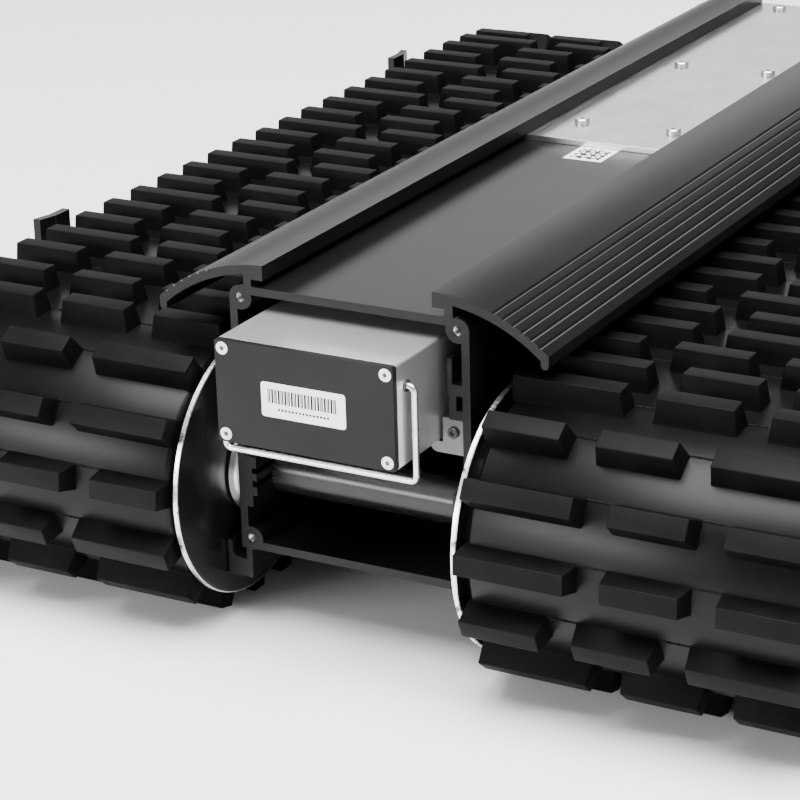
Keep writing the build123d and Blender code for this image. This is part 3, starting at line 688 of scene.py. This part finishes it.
def make_flanges(end_name, side_name):
    """Both flanges of a drum: gloss discs with a polished rim."""
    side = SIDES[side_name]
    node = end_name + "_" + side_name + "_flanges"
    low, high = box_of(node)
    near = min(abs(low.x), abs(high.x)) + CAD_FLARE_HEIGHT
    far = max(abs(low.x), abs(high.x))
    y = (low.y + high.y) / 2
    points = []
    faces = []
    picks = []
    for face_x, inward, flared in ((near, 1, True), (far, -1, False)):
        profile = disc_profile(face_x, inward, FLANGE_BORE[end_name], flared)
        new_points, new_faces = lathe_x(profile, y, AXLE_Z, side, FLANGE_STEPS, start=len(points))
        points += new_points
        if inward < 0:
            new_faces = [face[::-1] for face in new_faces]
        faces += new_faces
        count = len(profile)
        for index in range(len(new_faces)):
            k = index % count
            radius = (profile[k][1] + profile[(k + 1) % count][1]) / 2
            picks.append(1 if radius > BRIGHT_RIM_RADIUS else 0)
    piece = new_piece(node + "_turned", points, faces, end_name + "_" + side_name + "_drum",
                      ["gloss_black", "bright_rim"], picks, smooth=35.0)
    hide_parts(node)


for end_name in ENDS:
    for side_name in SIDES:
        make_flanges(end_name, side_name)


# ---- Body, battery and hardware: CAD shapes with rounded edges ----

refined("body_extrusion", 0.16 * MM, "anodised")
refined("battery_case", 0.12 * MM, "beaded")
refined("battery_front_plate", 0.18 * MM, "plate")
refined("battery_rear_plate", 0.18 * MM, "plate")
refined("battery_rails", 0.25 * MM, "rail")
refined("deck_plate", 0.2 * MM, "brushed")
refined("rear_end_plate", 0.3 * MM, "anodised")
refined("dock_socket", 0.3 * MM, "plastic")
refined("dock_bridge", 0.3 * MM, "anodised")
refined("battery_plug", 0.25 * MM, "plastic")
refined("motor_controller", 0.3 * MM, "housing")
for side_name in SIDES:
    refined(side_name + "_side_plate", 0.3 * MM, "anodised")
    refined(side_name + "_ribs", 0.3 * MM, "anodised")
    refined(side_name + "_slide_beds", 0.3 * MM, "brushed")
    refined(side_name + "_gearbox", 0.5 * MM, "housing")
    repaint(side_name + "_motor", "can")
    repaint(side_name + "_worm", "bright")
    repaint(side_name + "_track_screws", "bright")
    for end_name in ENDS:
        repaint(end_name + "_" + side_name + "_drum_shell", "black_tube")
        repaint(end_name + "_" + side_name + "_tie_rods", "bright")
    repaint("front_" + side_name + "_bearings", "bright")
    repaint("rear_" + side_name + "_drive_shaft", "bright")
for node in ("deck_screws", "end_plate_screws", "battery_screws", "front_axle", "axle_nuts",
             "shaft_end_bearings"):
    repaint(node, "bright")
repaint("bay_screws", "oxide")
repaint("axle_collars", "collar")
repaint("carry_bail", "wire")
repaint("axle_tube", "black_tube")
repaint("bail_bushes", "plastic")
repaint("battery_cells", "cell")


# ---- Labels ----

def slab(points, faces, picks, outline, y0, y1, pick):
    """A thin plate standing in the XZ plane between two y values."""
    base = len(points)
    count = len(outline)
    points.extend((x, y0, z) for x, z in outline)
    points.extend((x, y1, z) for x, z in outline)
    faces.append(tuple(base + k for k in range(count)))
    faces.append(tuple(base + count + k for k in reversed(range(count))))
    for k in range(count):
        following = (k + 1) % count
        faces.append((base + following, base + k, base + count + k, base + count + following))
    picks.extend([pick] * (count + 2))


def bar_outline(left, right, low, high):
    """The four corners of a rectangle, in order."""
    return [(left, low), (right, low), (right, high), (left, high)]


PRINT_THICKNESS = 0.02 * MM
LABEL_CORNER = 1.2 * MM
# Bars are placed down from the label's top edge, and dashes up from its lower edge.
BAR_LOW = 8.6 * MM
BAR_HIGH = 2.7 * MM
BAR_MARGINS = (3.0 * MM, 4.4 * MM)
DASH_LOW = 3.1 * MM
DASH_HIGH = 4.0 * MM
DASH_LENGTH = 1.0 * MM
DASH_PITCH = 1.6 * MM
DASH_MARGINS = (7.5 * MM, 8.0 * MM)


def bar_width(number):
    """The width of one bar, of three that take turns."""
    return (0.34 + 0.26 * (number * 7 % 3)) * MM


def bar_gap(number):
    """The gap after one bar, of three that take turns."""
    return (0.24 + 0.16 * (number * 5 % 3)) * MM


def make_battery_label():
    """A white label with rounded corners, plain bars and a row of dashes."""
    low, high = box_of("battery_label")
    points = []
    faces = []
    picks = []
    outline = rounded_rectangle(low.x, high.x, low.z, high.z, LABEL_CORNER)
    slab(points, faces, picks, outline, low.y, high.y, 0)
    front = low.y - PRINT_THICKNESS
    x = low.x + BAR_MARGINS[0]
    number = 0
    while x < high.x - BAR_MARGINS[1]:
        width = bar_width(number)
        bar = bar_outline(x, x + width, high.z - BAR_LOW, high.z - BAR_HIGH)
        slab(points, faces, picks, bar, front, low.y, 1)
        x += width + bar_gap(number)
        number += 1
    x = low.x + DASH_MARGINS[0]
    while x < high.x - DASH_MARGINS[1]:
        dash = bar_outline(x, x + DASH_LENGTH, low.z + DASH_LOW, low.z + DASH_HIGH)
        slab(points, faces, picks, dash, front, low.y, 1)
        x += DASH_PITCH
    piece = new_piece("battery_label_printed", points, faces, "battery",
                      ["paper", "ink"], picks)
    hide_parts("battery_label")


make_battery_label()


CODE_BORDER = 2.2 * MM
CODE_CELL = 1.25 * MM
CODE_TILE = 0.95 * CODE_CELL
TILE_FACES = ((0, 3, 2, 1), (4, 5, 6, 7), (0, 1, 5, 4), (1, 2, 6, 5), (2, 3, 7, 6), (3, 0, 4, 7))


def add_tile(points, faces, picks, low, high, pick):
    """A flat box between two corners."""
    base = len(points)
    corners = ((low.x, low.y), (high.x, low.y), (high.x, high.y), (low.x, high.y))
    points.extend((x, y, z) for z in (low.z, high.z) for x, y in corners)
    for face in TILE_FACES:
        faces.append(tuple(base + k for k in face))
        picks.append(pick)


def is_dark(row, column):
    """Whether a cell of the sticker's plain pattern is dark."""
    return (row * 5 + column * 3 + row * column) % 4 < 2


def make_code_label():
    """A small white sticker on the web beside the deck plate, with a plain field of tiles."""
    low, high = box_of("code_label")
    points = []
    faces = []
    picks = []
    add_tile(points, faces, picks, low, high, 0)
    columns = int((high.x - low.x - 2 * CODE_BORDER) / CODE_CELL)
    rows = int((high.y - low.y - 2 * CODE_BORDER) / CODE_CELL)
    tile = Vector((CODE_TILE, CODE_TILE, PRINT_THICKNESS))
    for row in range(rows):
        for column in range(columns):
            if is_dark(row, column):
                x = low.x + CODE_BORDER + column * CODE_CELL
                y = low.y + CODE_BORDER + row * CODE_CELL
                corner = Vector((x, y, high.z))
                add_tile(points, faces, picks, corner, corner + tile, 1)
    piece = new_piece("deck_sticker_printed", points, faces, "root",
                      ["paper", "ink"], picks)
    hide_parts("code_label")


make_code_label()


# ---- Threads in the tapped bosses ----

THREAD_PITCH = 0.8 * MM
THREAD_TURNS = 9
THREAD_STEPS = 28
THREAD_ROOT_RADIUS = 2.08 * MM
THREAD_CREST_RADIUS = 1.66 * MM
THREAD_CREST_PLACE = 0.4 * THREAD_PITCH
THREAD_SETBACK = 0.15 * MM
THREAD_SECTION = (
    # depth beyond the turn's start, radius
    (0.0, THREAD_ROOT_RADIUS),
    (THREAD_CREST_PLACE, THREAD_CREST_RADIUS),
    (THREAD_PITCH, THREAD_ROOT_RADIUS),
)
BOSS_X = 50.0 * MM
BOSS_HEIGHTS = (40.5 * MM, 148.0 * MM)
BODY_NEAR = box_of("body_extrusion")[0].y


def make_threads():
    """Bright cut threads in the four bosses of the near end."""
    points = []
    faces = []
    for x in (-BOSS_X, BOSS_X):
        for z in BOSS_HEIGHTS:
            base = len(points)
            total = THREAD_TURNS * THREAD_STEPS
            for step in range(total + 1):
                turn = 2 * math.pi * step / THREAD_STEPS
                depth = BODY_NEAR + THREAD_SETBACK + THREAD_PITCH * step / THREAD_STEPS
                for offset, radius in THREAD_SECTION:
                    across = x + radius * math.cos(turn)
                    height = z + radius * math.sin(turn)
                    points.append((across, depth + offset, height))
            for step in range(total):
                here = base + step * 3
                for k in (0, 1):
                    faces.append((here + k, here + k + 1, here + 4 + k, here + 3 + k))
    new_piece("boss_threads", points, faces, "root", ["thread"])


make_threads()


# ---- Stage, light and camera ----

FLOOR_REACH = 8.0


def make_floor():
    """A plain pale floor under the object."""
    mesh = bpy.data.meshes.new("floor")
    corners = bar_outline(-FLOOR_REACH, FLOOR_REACH, -FLOOR_REACH, FLOOR_REACH)
    mesh.from_pydata([(x, y, 0) for x, y in corners], [], [(0, 1, 2, 3)])
    floor = bpy.data.objects.new("floor", mesh)
    bpy.context.scene.collection.objects.link(floor)
    material = bpy.data.materials.new("pale_floor")
    shader = nodes_of(material)[2]
    shader.inputs["Base Color"].default_value = (*grey(0.92), 1.0)
    shader.inputs["Roughness"].default_value = 0.8
    mesh.materials.append(material)


def direction(azimuth, elevation):
    """The way from the object to a place, by degrees from -Y towards +X and up from level."""
    turn = math.radians(azimuth)
    rise = math.radians(elevation)
    level = math.cos(rise)
    return Vector((math.sin(turn) * level, -math.cos(turn) * level, math.sin(rise)))


def make_light(name, azimuth, elevation, distance, size, power):
    """A soft rectangular light that looks at the middle of the object."""
    target = (cad_low + cad_high) / 2
    away = direction(azimuth, elevation)
    data = bpy.data.lights.new(name, "AREA")
    data.shape = "RECTANGLE"
    data.size, data.size_y = size
    data.energy = power
    light = bpy.data.objects.new(name, data)
    light.location = target + away * distance
    light.rotation_mode = "QUATERNION"
    light.rotation_quaternion = (-away).to_track_quat("-Z", "Y")
    bpy.context.scene.collection.objects.link(light)


def make_world(strength):
    """An even pale surround."""
    world = bpy.data.worlds.new("studio")
    world.use_nodes = True
    back = world.node_tree.nodes["Background"]
    back.inputs["Color"].default_value = (1.0, 1.0, 1.0, 1.0)
    back.inputs["Strength"].default_value = strength
    bpy.context.scene.world = world


CAMERA_PLACE = Vector((0.5149, -1.1489, 0.5011))
CAMERA_AZIMUTH = 29.31
CAMERA_ELEVATION = 21.04
CAMERA_ROLL = -1.657
CAMERA_LENS = 121.0


def make_camera():
    """The camera at the viewing angle of a low three-quarter view from the battery end."""
    forward = -direction(CAMERA_AZIMUTH, CAMERA_ELEVATION)
    azimuth = math.radians(CAMERA_AZIMUTH)
    level = Vector((math.cos(azimuth), math.sin(azimuth), 0.0))
    upright = level.cross(forward)
    roll = math.radians(CAMERA_ROLL)
    right = level * math.cos(roll) + upright * math.sin(roll)
    up = upright * math.cos(roll) - level * math.sin(roll)
    data = bpy.data.cameras.new("camera")
    data.sensor_width = 36.0
    data.lens = CAMERA_LENS
    data.clip_start = 0.05
    data.clip_end = 50.0
    camera = bpy.data.objects.new("camera", data)
    turn = Matrix((right, up, -forward)).transposed().to_4x4()
    camera.matrix_world = Matrix.Translation(CAMERA_PLACE) @ turn
    bpy.context.scene.collection.objects.link(camera)
    bpy.context.scene.camera = camera


make_floor()
make_world(strength=0.34)
make_light("right_softbox", azimuth=62.0, elevation=10.0, distance=2.4, size=(1.2, 0.45), power=9.0)
make_light("front_softbox", azimuth=-28.0, elevation=11.0, distance=2.4, size=(1.3, 0.40), power=40.0)
make_light("top_softbox", azimuth=20.0, elevation=74.0, distance=2.4, size=(2.6, 1.8), power=290.0)
make_light("back_softbox", azimuth=209.0, elevation=20.0, distance=2.8, size=(2.6, 0.5), power=10.0)
make_camera()
